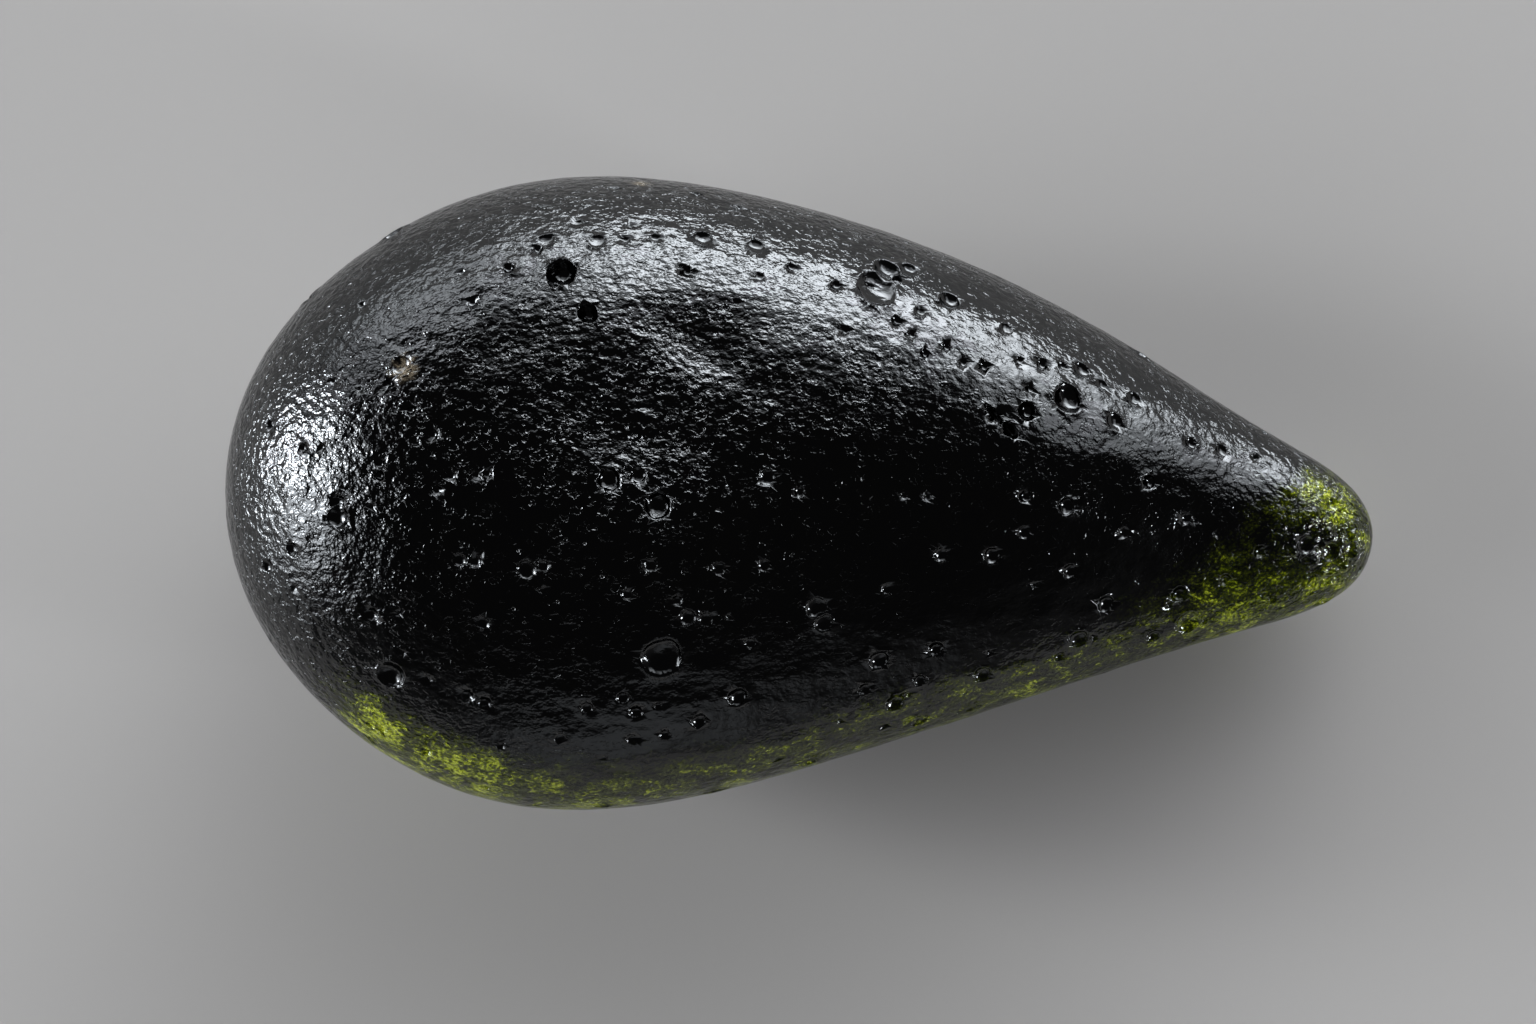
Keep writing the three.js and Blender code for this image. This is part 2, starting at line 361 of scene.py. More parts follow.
class Places:
    """Points sorted along X, so that the few near a pit are found quickly."""

    def __init__(self, points):
        self.points = points
        self.order = np.argsort(points[:, 0])
        self.along = points[self.order, 0]

    def near(self, one, reach):
        """Indices of the points near a pit, and how far off its centre they are in radii."""
        far = reach * one["radius"] * one["stretch"]
        ends = [one["centre"][0] - far, one["centre"][0] + far]
        first, last = np.searchsorted(self.along, ends)
        picked = self.order[first:last]
        offset = self.points[picked] - one["centre"]
        long_way = offset @ one["long"]
        inner = (offset ** 2).sum(1) - long_way ** 2 * (1 - one["stretch"] ** -2)
        apart = np.sqrt(np.maximum(inner, 0)) / one["radius"]
        keep = apart < reach
        return picked[keep], apart[keep]


# %% How long an edge may be, in mm and in shares of a pit's radius
EDGE = 0.62
PIT_EDGE = 0.28
LARGE_PIT = 0.45
LARGE_PIT_EDGE = 0.16
FINEST_EDGE = 0.07
PIT_REACH = 1.25


def longest_allowed(points):
    """How long an edge may be at each point, in mm."""
    allowed = np.full(len(points), EDGE)
    places = Places(points)
    for one in pits:
        picked, _ = places.near(one, PIT_REACH)
        share = LARGE_PIT_EDGE if one["radius"] > LARGE_PIT else PIT_EDGE
        fine = max(share * one["radius"], FINEST_EDGE)
        allowed[picked] = np.minimum(allowed[picked], fine)
    return allowed


large = sum(one["radius"] > LARGE_PIT for one in pits)
print(large, "large pits get the most triangles")

# %% Cut triangles by the middles of their edges


def split(faces, middles):
    """Cuts each triangle by the middles of its edges, where they have one."""
    count = (middles >= 0).sum(axis=1)
    made = [faces[count == 0]]
    # Turned so that the one cut edge, or the one uncut edge, comes first
    for cuts, first in ((1, middles.argmax(axis=1)), (2, middles.argmin(axis=1))):
        rows = np.flatnonzero(count == cuts)
        turn = (first[rows][:, None] + np.arange(3)) % 3
        a, b, c = np.take_along_axis(faces[rows], turn, axis=1).T
        ab, bc, ca = np.take_along_axis(middles[rows], turn, axis=1).T
        if cuts == 1:
            made += [np.column_stack([a, ab, c]), np.column_stack([ab, b, c])]
        else:
            made += [np.column_stack([c, ca, bc]), np.column_stack([a, b, bc])]
            made += [np.column_stack([a, bc, ca])]
    a, b, c = faces[count == 3].T
    ab, bc, ca = middles[count == 3].T
    made += [np.column_stack(three) for three in ((a, ab, ca), (ab, b, bc), (ca, bc, c))]
    made += [np.column_stack([ab, bc, ca])]
    return np.vstack(made)


# %% Cut the edges that are too long
PASSES = 9


def refine(ways, faces):
    """One pass: halves each edge that is too long, and returns how many it cut."""
    sides = np.sort(faces[:, [[0, 1], [1, 2], [2, 0]]], axis=2).reshape(-1, 2)
    edges, of_face = np.unique(sides, axis=0, return_inverse=True)
    points = skin_points(ways)
    ends = points[edges]
    length = np.linalg.norm(ends[:, 0] - ends[:, 1], axis=1)
    cut = length > longest_allowed(ends.mean(axis=1))
    middle = np.full(len(edges), -1)
    middle[cut] = len(ways) + np.arange(cut.sum())
    new_ways = ways[edges[cut]].sum(axis=1)
    new_ways /= np.linalg.norm(new_ways, axis=1)[:, None]
    of_face = middle[of_face.reshape(-1, 3)]
    return np.vstack([ways, new_ways]), split(faces, of_face), int(cut.sum())


for _ in range(PASSES):
    ways, faces, cuts = refine(ways, faces)
    print("cut", cuts, "edges, now", len(faces), "triangles")
    if cuts == 0:
        break

# %% [markdown]
# ## Relief in the mesh
#
# A burst bubble is a bowl with steep walls and a slightly raised lip. A bump in the
# material could fake it, but a bowl of real triangles mirrors its own lip and wall. Where
# pits overlap the deepest wins, as it would where two bubbles broke into each other.
# Between the pits the skin itself waves by a few hundredths of a millimetre, stretched
# along the way the melt flowed, and four long soft hollows streak the crown.

# %% Push the pits in
# In radii of a pit: the lip's height, where it stands, how wide it is and where it ends
LIP = 0.09
LIP_AT = 1.08
LIP_WIDTH = 0.14
LIP_ENDS = 1.6
# A power below 1 makes the walls steep, and the ragged values keep the rims from true circles
WALL = 0.8
RAGGED = 0.12
RAGGED_STEP = 0.9
SMOOTH_TO = 1.1


def pit_relief(points):
    """How far the pits push each point in or out, and how smooth they make the skin there."""
    smooth = np.zeros(len(points))
    hollow = np.zeros(len(points))
    lip = np.zeros(len(points))
    places = Places(points)
    for one in pits:
        picked, apart = places.near(one, LIP_ENDS)
        spots = points[picked] / (RAGGED_STEP * one["radius"])
        ragged = np.array([noise.noise(Vector(spot)) for spot in spots])
        apart = apart * (1 + RAGGED * ragged)
        bowl = -one["depth"] * np.clip(1 - apart ** 2, 0, 1) ** WALL
        hollow[picked] = np.minimum(hollow[picked], bowl)
        ring = LIP * one["radius"] * np.exp(-((apart - LIP_AT) / LIP_WIDTH) ** 2)
        lip[picked] = np.maximum(lip[picked], np.maximum(ring, bowl))
        smooth[picked] = np.maximum(smooth[picked], apart < SMOOTH_TO)
    return hollow + lip, smooth


deepest = max(one["depth"] for one in pits)
print("the deepest pit goes", round(deepest, 2), "mm in")

# %% Waves and streaks of the skin
WAVE = 1.3
WAVE_HEIGHT = 0.07
WAVE_CALM = 0.9
WAVE_FINER = 2.1
WAVE_LAYERS = 3
FLOW = np.array([0.55, 1.0, 1.0])
CROWN_LEVEL = 9


def wave_relief(points):
    """Soft waves of the skin, longer along the drop than across it."""
    spots = points * FLOW / WAVE
    heights = [noise.fractal(Vector(spot), WAVE_CALM, WAVE_FINER, WAVE_LAYERS) for spot in spots]
    return WAVE_HEIGHT * np.array(heights)


# Long soft hollows that streak the crown: along, across, half length, half width, turn, height
STREAKS = [(-6.2, 7.8, 2.6, 1.1, -0.5, -0.26), (-8.6, 2.7, 3.6, 1.0, -0.1, -0.14),
           (-15.2, 7.2, 2.4, 0.9, 0.5, -0.12), (-2.4, 6.0, 2.2, 0.8, -0.3, -0.12)]


def streak_relief(points):
    relief = np.zeros(len(points))
    for along, across, length, width, turn, height in STREAKS:
        x = points[:, 0] - along
        y = points[:, 1] - across
        far = (x * math.cos(turn) + y * math.sin(turn)) / length
        off = (y * math.cos(turn) - x * math.sin(turn)) / width
        relief += height * np.exp(-far ** 2 - off ** 2) * (points[:, 2] > CROWN_LEVEL)
    return relief


print(len(STREAKS), "streaks lie on the crown")

# %% [markdown]
# ## What the skin tells the glass
#
# The material has to know where the skin is rough, where the glass is thin enough to let
# light in and the glow of that light is painted on, where clay sticks, and where one amber
# glint is painted in clay's colour. A picture could be painted on for each, but a number on
# every point of the mesh needs no unfolding, and is as fine as the mesh. The low rim, the
# tip and the low side of the belly let light in and carry the painted glow. A pit's inside is
# smooth, as the bubble left it, and the crown and the rims are the roughest.

# %% Where the glass is clear, and where its glow is painted
# Insets are in mm from the low rim, and the rim's and the tip's starts in mm from the broad
# end. The belly's starts say how far up its directions on the ball point
RIM_INSET = (4.8, 1.2)
RIM_CLEAR_AND_GLOW = 0.68
BROAD_RIM_MORE = 0.16
BROAD_RIM = (26, 8)
RIM_STARTS = (3, 8.5)
TIP_CLEAR_AND_GLOW = 0.66
TIP_STARTS = (48, 56)
TIP_SLANT = 1.2
BELLY_CLEAR_AND_GLOW = 0.36
BELLY_INSET = (9, 4)
BELLY_STARTS = (0.1, -0.2)


def ease(low, high, values):
    """A smooth step from 0 at low to 1 at high."""
    share = np.clip((values - low) / (high - low), 0, 1)
    return share * share * (3 - 2 * share)


# Spots of more clearness and painted glow than the skin around them, or less: along, across,
# reach, share
CLEAR_AND_GLOW_PATCHES = [
    (27.9, 1.3, 0.7, 0.8), (24.5, 2.0, 1.2, 0.15), (26.2, 2.4, 0.9, 0.35), (22.5, -5.0, 1.6, 0.2),
    (27.5, -3.0, 1.5, 0.15), (-20.6, -10.6, 1.7, 0.22), (-18.2, -12.6, 1.8, 0.15),
    (-15.5, -14.0, 1.8, 0.15), (22.6, 4.6, 0.8, 0.4), (26.6, -0.8, 1.1, -0.25),
    (24.4, -0.6, 1.4, -0.2), (21.6, -1.3, 0.5, 0.35),
]


def clearness_and_glow(points):
    """How clear the skin is and how much glow of light through it is painted: most at the tip, on
    the belly and the low rim.
    """
    x = LENGTH / 2 * (1 + ways[:, 0])
    inset = width_at(x) * (ellipse(x) + ways[:, 1])
    rim = RIM_CLEAR_AND_GLOW + BROAD_RIM_MORE * ease(*BROAD_RIM, x)
    rim *= ease(*RIM_INSET, inset) * ease(*RIM_STARTS, x)
    tip = TIP_CLEAR_AND_GLOW * ease(*TIP_STARTS, x - TIP_SLANT * points[:, 1])
    belly = BELLY_CLEAR_AND_GLOW * ease(*BELLY_INSET, inset) * ease(*BELLY_STARTS, ways[:, 2])
    clear = np.maximum(np.maximum(rim, tip), belly)
    for along, across, reach, more in CLEAR_AND_GLOW_PATCHES:
        apart = ((points[:, :2] - (along, across)) ** 2).sum(1)
        clear += more * np.exp(-apart / reach ** 2)
    return np.clip(clear, 0, 1)


print(len(CLEAR_AND_GLOW_PATCHES), "spots are clearer or darker than the skin around them")

# %% Where the skin is rough
TOP_ROUGH = 0.65
RIM_ROUGH_MORE = 0.8
RIM_ROUGH_STARTS = (0.5, 0.15)
# Along, across, reach, and how much rougher it is than elsewhere
ROUGH_PATCHES = [
    (-9, 4, 7, 0.85), (-26, 0, 6, 0.1), (3, 5.5, 3.5, 0.2), (7, 10.5, 4.5, -0.2),
    (14, 6.5, 4, -0.15), (27.5, 1.5, 2, 0.5), (6, -3, 8, -0.35), (-6, -13, 7, -0.5),
    (8, -8.5, 5, -0.2), (18, -2, 6, -0.45),
]


def roughness(points):
    """How strong the skin's fine relief is: more on the crown and towards the rims."""
    strength = TOP_ROUGH + RIM_ROUGH_MORE * ease(*RIM_ROUGH_STARTS, ways[:, 2])
    for along, across, reach, more in ROUGH_PATCHES:
        apart = ((points[:, :2] - (along, across)) ** 2).sum(1)
        strength += more * np.exp(-apart / reach ** 2)
    return strength


rough = roughness(skin_points(ways))
print("the fine relief is from", rough.min().round(2), "to", rough.max().round(2), "strong")

# %% Where clay sticks, and where a glint is painted in its colour
# Clay in a burst pit, and a painted amber glint on the far rim: along, across, reach
CLAY_AND_GLINT = [(-20.6, 5.8, 0.75), (-9.3, 16.1, 0.5)]
RAYS = 7
RAY_LENGTH = 0.35
RAY_BEND = 3


def clay_and_glint(points):
    """How much clay covers the skin, with one star that is a painted amber glint: stars with bent
    rays.
    """
    cover = np.zeros(len(points))
    for along, across, reach in CLAY_AND_GLINT:
        spot = pit(ways_at(along, across)[0], reach, 0)
        offset = points - spot["centre"]
        apart = np.linalg.norm(offset, axis=1)
        turn = np.arctan2(offset @ spot["short"], offset @ spot["long"])
        rays = 1 + RAY_LENGTH * np.sin(RAYS * turn + RAY_BEND * apart)
        cover = np.maximum(cover, ease(1.0, 0.5, apart / (reach * rays)))
    return cover


print(len(CLAY_AND_GLINT), "stars of clay stick to the skin")

# %% [markdown]
# ## The finished drop
#
# Everything meets here: each point of the fine ball becomes a point of the skin, and moves
# out or in by the relief. The relief fades out towards the floor, and what would reach
# below it is laid flat, so the drop rests as the solid does. Then the drop is hung on the
# body that carries it, and the solid that it stands for is hidden.

# %% Build the drop's mesh
GROUND_FADE = 0.5
PIT_SHINE = 0.7
RIM_WAVES = 0.35
TOP_WAVES_MORE = 0.5
TOP_WAVES_START = (0.2, 0.6)


def build_drop():
    points = skin_points(ways)
    strength = roughness(points)
    waves = RIM_WAVES + TOP_WAVES_MORE * ease(*TOP_WAVES_START, ways[:, 2])
    waves *= wave_relief(points)
    pushed, smooth = pit_relief(points)
    strength *= 1 - PIT_SHINE * smooth
    relief = pushed + waves + streak_relief(points)
    relief *= np.clip(points[:, 2] / GROUND_FADE, 0, 1)
    points += outwards(ways) * relief[:, None]
    points[:, 2] = np.maximum(points[:, 2], 0)
    mesh = bpy.data.meshes.new("tektite_drop")
    mesh.from_pydata((points * MM).tolist(), [], faces.tolist())
    mesh.shade_smooth()
    # The clear attribute says how clear the glass is and where the glow of light through it is
    # painted
    told = {"clear": clearness_and_glow(points), "rough": strength, "clay_and_glint": clay_and_glint(points)}
    for name, values in told.items():
        mesh.attributes.new(name, "FLOAT", "POINT").data.foreach_set("value", values)
    return bpy.data.objects.new("tektite_drop", mesh)


drop = build_drop()
bpy.context.scene.collection.objects.link(drop)
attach(drop, "root")
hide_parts("tektite")
print("the drop has", len(drop.data.polygons), "triangles")

# %% [markdown]
# ## The glass
#
# Tektite glass is clear, but so dark that two centimetres swallow nearly all light: first
# the blue, then the red, and last the green. So the finish is plain glass filled with a
# plain absorbing volume. Glass alone would leave the thin rims black, because what comes
# in there is turned back inside. The real ones glow, as light scatters on bubbles and
# swirls just under the skin. Here that glow is painted: a share of the finish is matt, black
# in most places and olive with bright flecks where the skin is clear. The olive tint is the
# glass's own; the brightness of the flecks is painted light through thin glass.

# %% Helpers for shader nodes


def new_group(name, inputs, outputs):
    """An empty shader node group with named inputs (label, type, value) and outputs."""
    tree = bpy.data.node_groups.new(name, "ShaderNodeTree")
    for label, kind, value in inputs:
        socket = tree.interface.new_socket(label, in_out="INPUT", socket_type=kind)
        if value is not None:
            socket.default_value = value
    for label, kind in outputs:
        tree.interface.new_socket(label, in_out="OUTPUT", socket_type=kind)
    return tree, tree.nodes.new("NodeGroupInput"), tree.nodes.new("NodeGroupOutput")


def put(tree, socket, value):
    """Feeds a socket from another one, or sets it to a plain value."""
    if isinstance(value, bpy.types.NodeSocket):
        tree.links.new(value, socket)
    else:
        socket.default_value = value


def calculate(tree, operation, *values, clamp=False):
    node = tree.nodes.new("ShaderNodeMath")
    node.operation = operation
    node.use_clamp = clamp
    for socket, value in zip(node.inputs, values):
        put(tree, socket, value)
    return node.outputs[0]


def calculate_vector(tree, operation, *values):
    node = tree.nodes.new("ShaderNodeVectorMath")
    node.operation = operation
    for socket, value in zip(node.inputs, values):
        put(tree, socket, value)
    return node.outputs[0]


def ramp_between(tree, value, low, high, to_low=0.0, to_high=1.0):
    """Eases a value from to_low at low to to_high at high."""
    node = tree.nodes.new("ShaderNodeMapRange")
    node.interpolation_type = "SMOOTHSTEP"
    for name, setting in (("Value", value), ("From Min", low), ("From Max", high),
                          ("To Min", to_low), ("To Max", to_high)):
        put(tree, node.inputs[name], setting)
    return node.outputs["Result"]


# %% [markdown]
# ## The fine relief
#
# Between its pits the skin is scaly: ripples and grain of a few hundredths of a
# millimetre, with small dents and pinholes. Real triangles would be too many at this
# size, so layered noise and a loose grid of dents bend only the shading. The dents are a
# group with named inputs, because they are placed twice: wide and shallow, then small and
# deep.

# %% Small dents, as a group
SMALLEST_DENT = 0.35


def dents():
    """Small round dents in some of the cells of a loose grid, in mm of height."""
    tree, start, end = new_group(
        "dents",
        [("Place", "NodeSocketVector", None), ("Uneven", "NodeSocketFloat", 0.5),
         ("Spacing", "NodeSocketFloat", 1.0), ("Radius", "NodeSocketFloat", 0.2),
         ("Depth", "NodeSocketFloat", 0.1), ("Share", "NodeSocketFloat", 0.5)],
        [("Height", "NodeSocketFloat")])
    spread = calculate(tree, "DIVIDE", 1.0, start.outputs["Spacing"])
    place = calculate_vector(tree, "MULTIPLY", start.outputs["Place"], spread)
    cells = tree.nodes.new("ShaderNodeTexVoronoi")
    cells.inputs["Scale"].default_value = 1.0
    put(tree, cells.inputs["Vector"], place)
    parts = tree.nodes.new("ShaderNodeSeparateColor")
    put(tree, parts.inputs["Color"], cells.outputs["Color"])
    there = calculate(tree, "LESS_THAN", parts.outputs["Red"], start.outputs["Share"])
    size = ramp_between(tree, parts.outputs["Green"], 0.0, 1.0, SMALLEST_DENT, 1.0)
    radius = calculate(tree, "MULTIPLY", start.outputs["Radius"], size)
    apart = calculate(tree, "MULTIPLY", cells.outputs["Distance"], start.outputs["Spacing"])
    apart = calculate(tree, "DIVIDE", apart, radius)
    uneven = ramp_between(tree, start.outputs["Uneven"], 0.2, 0.8, to_low=0.6, to_high=1.4)
    apart = calculate(tree, "MULTIPLY", apart, uneven)
    bowl = calculate(tree, "SUBTRACT", 1.0, calculate(tree, "MULTIPLY", apart, apart), clamp=True)
    depth = calculate(tree, "MULTIPLY", start.outputs["Depth"], size)
    depth = calculate(tree, "MULTIPLY", depth, calculate(tree, "MULTIPLY", bowl, there))
    put(tree, end.inputs["Height"], calculate(tree, "MULTIPLY", depth, -1.0))
    return tree


group_of_dents = dents()
print("the dents group has", len(group_of_dents.nodes), "nodes")

# %% Use a group in a material


def use_group(tree, group, place, **values):
    node = tree.nodes.new("ShaderNodeGroup")
    node.node_tree = group
    put(tree, node.inputs["Place"], place)
    for name, value in values.items():
        put(tree, node.inputs[name], value)
    return node.outputs


# %% Places, numbers and noise for the shading


def place_on_drop(tree, squeeze=1.0):
    """The place on the drop in mm, squeezed along its length so that patterns stretch."""
    place = tree.nodes.new("ShaderNodeTexCoord").outputs["Object"]
    scale = tuple(np.array([squeeze, 1.0, 1.0]) / MM)
    return calculate_vector(tree, "MULTIPLY", place, scale)


def attribute(tree, name):
    node = tree.nodes.new("ShaderNodeAttribute")
    node.attribute_name = name
    return node.outputs["Fac"]


def layered_noise(tree, place, scale, detail=3.0, roughness=0.55, swirl=0.0):
    node = tree.nodes.new("ShaderNodeTexNoise")
    for name, setting in (("Vector", place), ("Scale", scale), ("Detail", detail),
                          ("Roughness", roughness), ("Distortion", swirl)):
        put(tree, node.inputs[name], setting)
    return node.outputs["Fac"]


# %% The relief as a normal, with heights in mm and noise in steps per mm
RIPPLE = 0.08
RIPPLES_PER_MM = 2.8
GRAIN = 0.045
GRAINS_PER_MM = 6.5
FLOWING = 0.8
print("ripples stand", RIPPLE, "mm high and grain", GRAIN, "mm")


def glass_relief(tree):
    """The fine relief of the skin as a normal: ripples, grain, scaly dents and pinholes."""
    flowing = place_on_drop(tree, FLOWING)
    ripples = layered_noise(tree, flowing, RIPPLES_PER_MM, detail=0.0)
    grain = layered_noise(tree, flowing, GRAINS_PER_MM, detail=1.0, roughness=0.5)
    rough = attribute(tree, "rough")
    shallow = use_group(tree, group_of_dents, place_on_drop(tree, squeeze=0.7), Uneven=grain,
                        Spacing=0.42, Radius=0.24, Depth=0.036, Share=0.85)
    share = ramp_between(tree, rough, 0.4, 1.2, to_low=0.12, to_high=0.6)
    deep = use_group(tree, group_of_dents, place_on_drop(tree, squeeze=0.9), Uneven=grain,
                     Spacing=0.5, Radius=0.1, Depth=0.06, Share=share)
    total = calculate(tree, "MULTIPLY", ripples, RIPPLE)
    total = calculate(tree, "ADD", total, calculate(tree, "MULTIPLY", grain, GRAIN))
    total = calculate(tree, "ADD", total, shallow["Height"])
    total = calculate(tree, "ADD", total, deep["Height"])
    total = calculate(tree, "MULTIPLY", total, rough)
    bump = tree.nodes.new("ShaderNodeBump")
    bump.inputs["Strength"].default_value = 1.0
    bump.inputs["Distance"].default_value = MM
    put(tree, bump.inputs["Height"], total)
    return bump.outputs["Normal"]


# %% [markdown]
# ## The painted olive glow
#
# Where the glass is thin it looks like bottle glass full of swirls, with light coming
# through. That light is painted into the colour. Two noises make it: broad swirls and small
# flecks, mixed. The clearer the skin is, the lower the threshold that the mix has to pass,
# so the glow thins out into single flecks before it ends. A ramp of colours turns what passes
# from black through olive to a bright yellow green, the painted light. Crumbs of clay lie
# over it, and in clay's colour one painted amber glint on the far rim.

# %% Mix two colours


def mix_colours(tree, share, first, second):
    node = tree.nodes.new("ShaderNodeMix")
    node.data_type = "RGBA"
    shown = {socket.name: socket for socket in node.inputs if socket.enabled}
    for name, value in (("Factor", share), ("A", first), ("B", second)):
        put(tree, shown[name], value)
    return next(socket for socket in node.outputs if socket.enabled)


# %% The colour under the skin, with its painted glow
SWIRLS_PER_MM = 0.9
SWIRLS_SHARE = 0.45
FLECKS_PER_MM = 6.5
DARK_THRESHOLD = 0.62
CLEAR_THRESHOLD = 0.27
GLOW_SPAN = 0.37
# The olive stops and the brightest fleck stand for light through thin glass, painted into the
# colour
OLIVES_AND_PAINTED_GLOW = [(0.3, (0.025, 0.03, 0.001)), (0.6, (0.1, 0.12, 0.003)), (0.84, (0.58, 0.66, 0.02))]
BRIGHTEST_PAINTED_LIGHT = (0.95, 1.0, 0.1)
# Tan of the clay, also painting the amber glint on the far rim
CLAY_AND_GLINT_COLOUR = (0.5, 0.4, 0.27)


def glow_ramp(tree, amount):
    """From black through the olives to the brightest fleck, which is painted light."""
    ramp = tree.nodes.new("ShaderNodeValToRGB")
    ramp.color_ramp.elements[0].color = (0, 0, 0, 1)
    ramp.color_ramp.elements[1].color = (*BRIGHTEST_PAINTED_LIGHT, 1)
    for position, colour in OLIVES_AND_PAINTED_GLOW:
        ramp.color_ramp.elements.new(position).color = (*colour, 1)
    put(tree, ramp.inputs["Fac"], amount)
    return ramp.outputs["Color"]


def glass_colour_and_glow(tree):
    """Black, with a painted olive glow and bright painted flecks of light where the skin is clear,
    and clay over it.
    """
    swirls = layered_noise(tree, place_on_drop(tree, squeeze=0.6), SWIRLS_PER_MM,
                           detail=2.0, roughness=0.5, swirl=1.0)
    flecks = layered_noise(tree, place_on_drop(tree, squeeze=0.8), FLECKS_PER_MM,
                           detail=1.5, roughness=0.75, swirl=0.3)
    mixed = calculate(tree, "ADD", calculate(tree, "MULTIPLY", swirls, SWIRLS_SHARE),
                      calculate(tree, "MULTIPLY", flecks, 1 - SWIRLS_SHARE))
    # The clear attribute places the painted glow
    clear = attribute(tree, "clear")
    threshold = ramp_between(tree, clear, 0.0, 1.0, DARK_THRESHOLD, CLEAR_THRESHOLD)
    full = calculate(tree, "ADD", threshold, GLOW_SPAN)
    amount = ramp_between(tree, mixed, threshold, full)
    amount = calculate(tree, "MULTIPLY", amount, ramp_between(tree, clear, 0.02, 0.2))
    # Clay crumbs, and the painted amber glint in the same colour
    broken_cover = ramp_between(tree, flecks, 0.4, 0.6, to_low=0.1, to_high=0.8)
    cover = calculate(tree, "MULTIPLY", attribute(tree, "clay_and_glint"), broken_cover)
    return mix_colours(tree, cover, glow_ramp(tree, amount), (*CLAY_AND_GLINT_COLOUR, 1))


print("the glow passes through", len(OLIVES_AND_PAINTED_GLOW), "olives")

# %% Glass of the drop
THROUGH = (0.80, 0.83, 0.0)
DARKNESS = 1000.0
# The matt share shows the painted glow of light through thin glass
MATT_SHARE = 0.3
BENDING = 1.5
SKIN_ROUGHNESS = 0.09
THICKNESS = 20


def glass():
    material = bpy.data.materials.new("tektite_glass")
    material.use_nodes = True
    tree = material.node_tree
    tree.nodes.clear()
    output = tree.nodes.new("ShaderNodeOutputMaterial")
    shader = tree.nodes.new("ShaderNodeBsdfPrincipled")
    shader.inputs["Transmission Weight"].default_value = 1 - MATT_SHARE
    shader.inputs["IOR"].default_value = BENDING
    shader.inputs["Roughness"].default_value = SKIN_ROUGHNESS
    tree.links.new(shader.outputs["BSDF"], output.inputs["Surface"])
    volume = tree.nodes.new("ShaderNodeVolumeAbsorption")
    volume.inputs["Color"].default_value = (*THROUGH, 1)
    volume.inputs["Density"].default_value = DARKNESS
    tree.links.new(volume.outputs["Volume"], output.inputs["Volume"])
    put(tree, shader.inputs["Base Color"], glass_colour_and_glow(tree))
    put(tree, shader.inputs["Normal"], glass_relief(tree))
    return material


drop.data.materials.append(glass())
left = [round(100 * math.exp(-DARKNESS * (1 - part) * THICKNESS * MM)) for part in THROUGH]
print(THICKNESS, "mm of glass let through", left, "% of red, green and blue")

# %% [markdown]
# ## The studio
#
# A dark glossy thing shows its lights more than its own colour, so the lights are placed
# by what the skin mirrors. A long softbox low on the far side makes the pale band, and a
# small bright one beyond the broad end makes the round highlight. Each fades out towards
# its edges, as light through stretched cloth does, so its mirror image has no hard rim. A
# low light on the near side is hidden from reflections, and only makes the olive flecks
# glow, and two dim cards on the floor do the same below the tip. The floor is pale and
# plain.

# %% Floor
FLOOR_SIZE = 8.0
FLOOR_COLOUR = (0.4, 0.374, 0.354)
FLOOR_ROUGHNESS = 0.8
FLOOR_SHINE = 0.25


def floor():
    mesh = bpy.data.meshes.new("floor")
    half = FLOOR_SIZE / 2
    corners = [(-half, -half, 0), (half, -half, 0), (half, half, 0), (-half, half, 0)]
    mesh.from_pydata(corners, [], [(0, 1, 2, 3)])
    made = bpy.data.objects.new("floor", mesh)
    material = bpy.data.materials.new("pale_floor")
    material.use_nodes = True
    shader = material.node_tree.nodes["Principled BSDF"]
    shader.inputs["Base Color"].default_value = (*FLOOR_COLOUR, 1)
    shader.inputs["Roughness"].default_value = FLOOR_ROUGHNESS
    shader.inputs["Specular IOR Level"].default_value = FLOOR_SHINE
    mesh.materials.append(material)
    bpy.context.scene.collection.objects.link(made)
    return made


floor()
print("the floor is", FLOOR_SIZE, "m wide")

# %% Soft lights


def soften(light, soft):
    """Lets a rectangular light fade out towards its edges, over a share of its size."""
    light.use_nodes = True
    tree = light.node_tree
    place = tree.nodes.new("ShaderNodeNewGeometry").outputs["Parametric"]
    parts = tree.nodes.new("ShaderNodeSeparateXYZ")
    put(tree, parts.inputs["Vector"], place)
    strength = 1.0
    for name in ("X", "Y"):
        rising = ramp_between(tree, parts.outputs[name], 0.0, soft)
        falling = ramp_between(tree, parts.outputs[name], 1.0 - soft, 1.0, to_low=1.0, to_high=0.0)
        strength = calculate(tree, "MULTIPLY", strength, rising)
        strength = calculate(tree, "MULTIPLY", strength, falling)
    put(tree, tree.nodes["Emission"].inputs["Strength"], strength)


# %% A softbox
SOFTBOX_COLOUR = (0.88, 0.94, 1.0)


def softbox(name, azimuth, elevation, width, height, radiance, soft=0.35, distance=1.2):
    """A soft rectangular light that faces the drop. Angles are in degrees, sizes in m."""
    light = bpy.data.lights.new(name, "AREA")
    light.shape = "RECTANGLE"
    light.size = width
    light.size_y = height
    light.energy = radiance * width * height * math.pi
    light.color = SOFTBOX_COLOUR
    soften(light, soft)
    made = bpy.data.objects.new(name, light)
    a = math.radians(azimuth)
    e = math.radians(elevation)
    place = Vector((math.cos(a) * math.cos(e), math.sin(a) * math.cos(e), math.sin(e))) * distance
    made.location = place
    made.rotation_euler = place.to_track_quat("Z", "Y").to_euler()
    made.visible_camera = False
    bpy.context.scene.collection.objects.link(made)
    return made


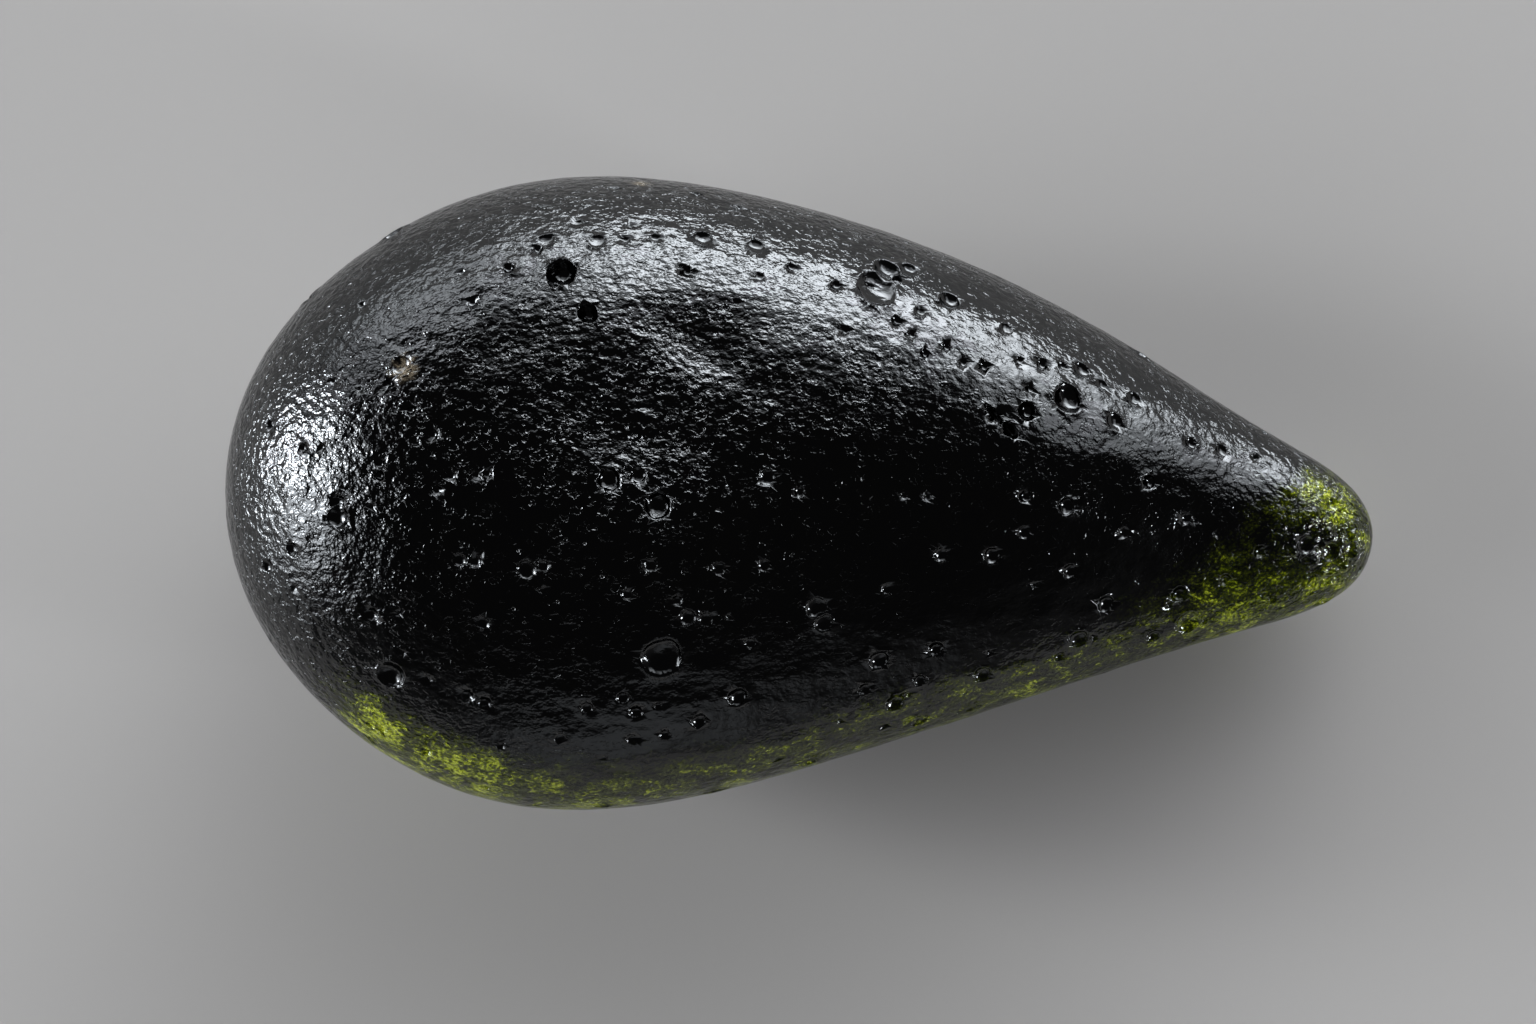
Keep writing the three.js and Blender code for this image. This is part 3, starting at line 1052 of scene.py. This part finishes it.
# %% Place the lights
softbox("softbox_far", azimuth=74, elevation=9.5, width=2.5, height=1.0, radiance=21, soft=0.5)
softbox("softbox_top", azimuth=84, elevation=36, width=1.8, height=0.9, radiance=2.2, soft=0.5)
softbox("softbox_left", azimuth=128, elevation=16, width=1.4, height=0.8, radiance=6, soft=0.5)
softbox("spot_end", azimuth=174, elevation=12, width=0.34, height=0.46, radiance=56)
softbox("spot_halo", azimuth=-176, elevation=16, width=1.2, height=0.9, radiance=14, soft=0.5)
softbox("softbox_right", azimuth=36, elevation=24, width=0.8, height=0.6, radiance=3)
softbox("spot_tip", azimuth=-17, elevation=12, width=0.18, height=0.32, radiance=75)
softbox("fill_near", azimuth=-82, elevation=14, width=1.2, height=0.6, radiance=0.45)
glow = softbox("glow_near", azimuth=-108, elevation=8, width=2.0, height=0.35, radiance=11)
glow.visible_glossy = False
lights = [one for one in bpy.context.scene.objects if one.type == "LIGHT"]
print(len(lights), "soft lights stand around the drop")

# %% Cards under the tip
CARD_LEVEL = 0.4


def light_card(name, place, turn, width, height, radiance):
    """A small card of light facing up from the floor. Its place and sizes are in mm."""
    light = bpy.data.lights.new(name, "AREA")
    light.shape = "RECTANGLE"
    light.size = width * MM
    light.size_y = height * MM
    light.energy = radiance * width * height * MM ** 2 * math.pi
    made = bpy.data.objects.new(name, light)
    made.location = Vector((*place, CARD_LEVEL)) * MM
    made.rotation_euler = (math.pi, 0, math.radians(turn))
    made.visible_camera = False
    made.visible_glossy = False
    bpy.context.scene.collection.objects.link(made)
    return made


cards = [light_card("card_tip", (17, -10), 162, 28, 16, 0.8),
         light_card("card_end", (27, 1), 120, 18, 14, 0.9)]
print(len(cards), "cards glow under the tip")

# %% [markdown]
# ## The sky
#
# A studio isn't quite dark beside its lights. A dim grey sky, a little lighter below than
# above, stands for its walls. A brighter one would grey the black glass.

# %% World
SKY_BELOW = (0.12, 0.12, 0.125)
SKY_ABOVE = (0.04, 0.04, 0.042)
DIMMEST_FROM = 0.5


def world():
    made = bpy.data.worlds.new("studio")
    bpy.context.scene.world = made
    made.use_nodes = True
    tree = made.node_tree
    background = tree.nodes["Background"]
    place = tree.nodes.new("ShaderNodeTexCoord")
    parts = tree.nodes.new("ShaderNodeSeparateXYZ")
    ramp = tree.nodes.new("ShaderNodeValToRGB")
    ramp.color_ramp.elements[0].position = 0.0
    ramp.color_ramp.elements[0].color = (*SKY_BELOW, 1)
    ramp.color_ramp.elements[1].position = DIMMEST_FROM
    ramp.color_ramp.elements[1].color = (*SKY_ABOVE, 1)
    tree.links.new(place.outputs["Generated"], parts.inputs["Vector"])
    tree.links.new(parts.outputs["Z"], ramp.inputs["Fac"])
    tree.links.new(ramp.outputs["Color"], background.inputs["Color"])
    background.inputs["Strength"].default_value = 1.0


world()
bpy.context.scene.view_settings.view_transform = "Standard"
print("the sky dims from", SKY_BELOW[0], "below to", SKY_ABOVE[0], "above")

# %% [markdown]
# ## The camera
#
# The photograph looks straight down, with the drop's length turned three degrees from
# level. A long lens keeps perspective small.

# %% Camera
CAMERA_HEIGHT = 340.6
CAMERA_FOOT = (-1.835, -0.492)
CAMERA_ROLL = 3.0
LENS = 150
SENSOR = 36
NEAREST = 0.01


def camera():
    data = bpy.data.cameras.new("camera")
    data.lens = LENS
    data.sensor_width = SENSOR
    made = bpy.data.objects.new("camera", data)
    made.location = Vector((*CAMERA_FOOT, CAMERA_HEIGHT)) * MM
    made.rotation_euler = (0, 0, math.radians(CAMERA_ROLL))
    data.clip_start = NEAREST
    bpy.context.scene.collection.objects.link(made)
    bpy.context.scene.camera = made


camera()
print("the camera stands", CAMERA_HEIGHT, "mm above the floor")
